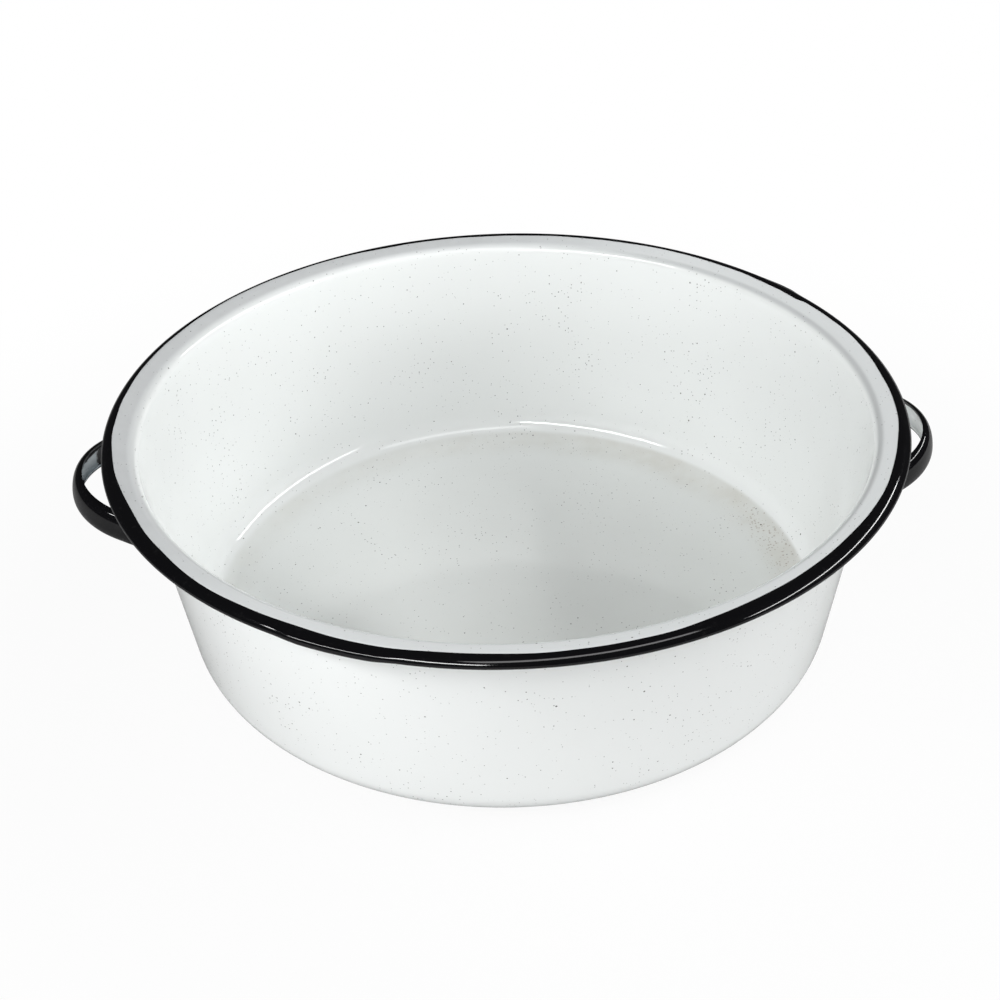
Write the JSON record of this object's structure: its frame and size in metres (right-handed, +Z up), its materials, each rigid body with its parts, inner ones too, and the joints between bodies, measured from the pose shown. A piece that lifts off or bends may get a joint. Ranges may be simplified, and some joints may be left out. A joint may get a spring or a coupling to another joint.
{
  "type": "enamel basin bowl",
  "caption": "Round deep enamelled steel basin with sloping walls, flared brim, rolled black rim and a strap handle on each side.",
  "frame": {"origin": "centre of the basin's footprint, on the plane that its base stands on", "axes": "+X through the two handles, along the longest extent; +Z up along the bowl's axis, out of its mouth, the shortest extent; +Y across, square to the handles"},
  "size_m": [0.4406, 0.4, 0.1228],
  "materials": {
    "white_enamel": "glossy white vitreous enamel with fine dark specks",
    "black_trim": "glossy black vitreous enamel",
    "handle_enamel": "glossy black vitreous enamel outside, white in the strap's hollow"
  },
  "bodies": {
    "root": {"basin_shell": "white_enamel", "rim_trim": "black_trim", "handle_left": "handle_enamel", "handle_right": "handle_enamel"}
  },
  "joints": []
}
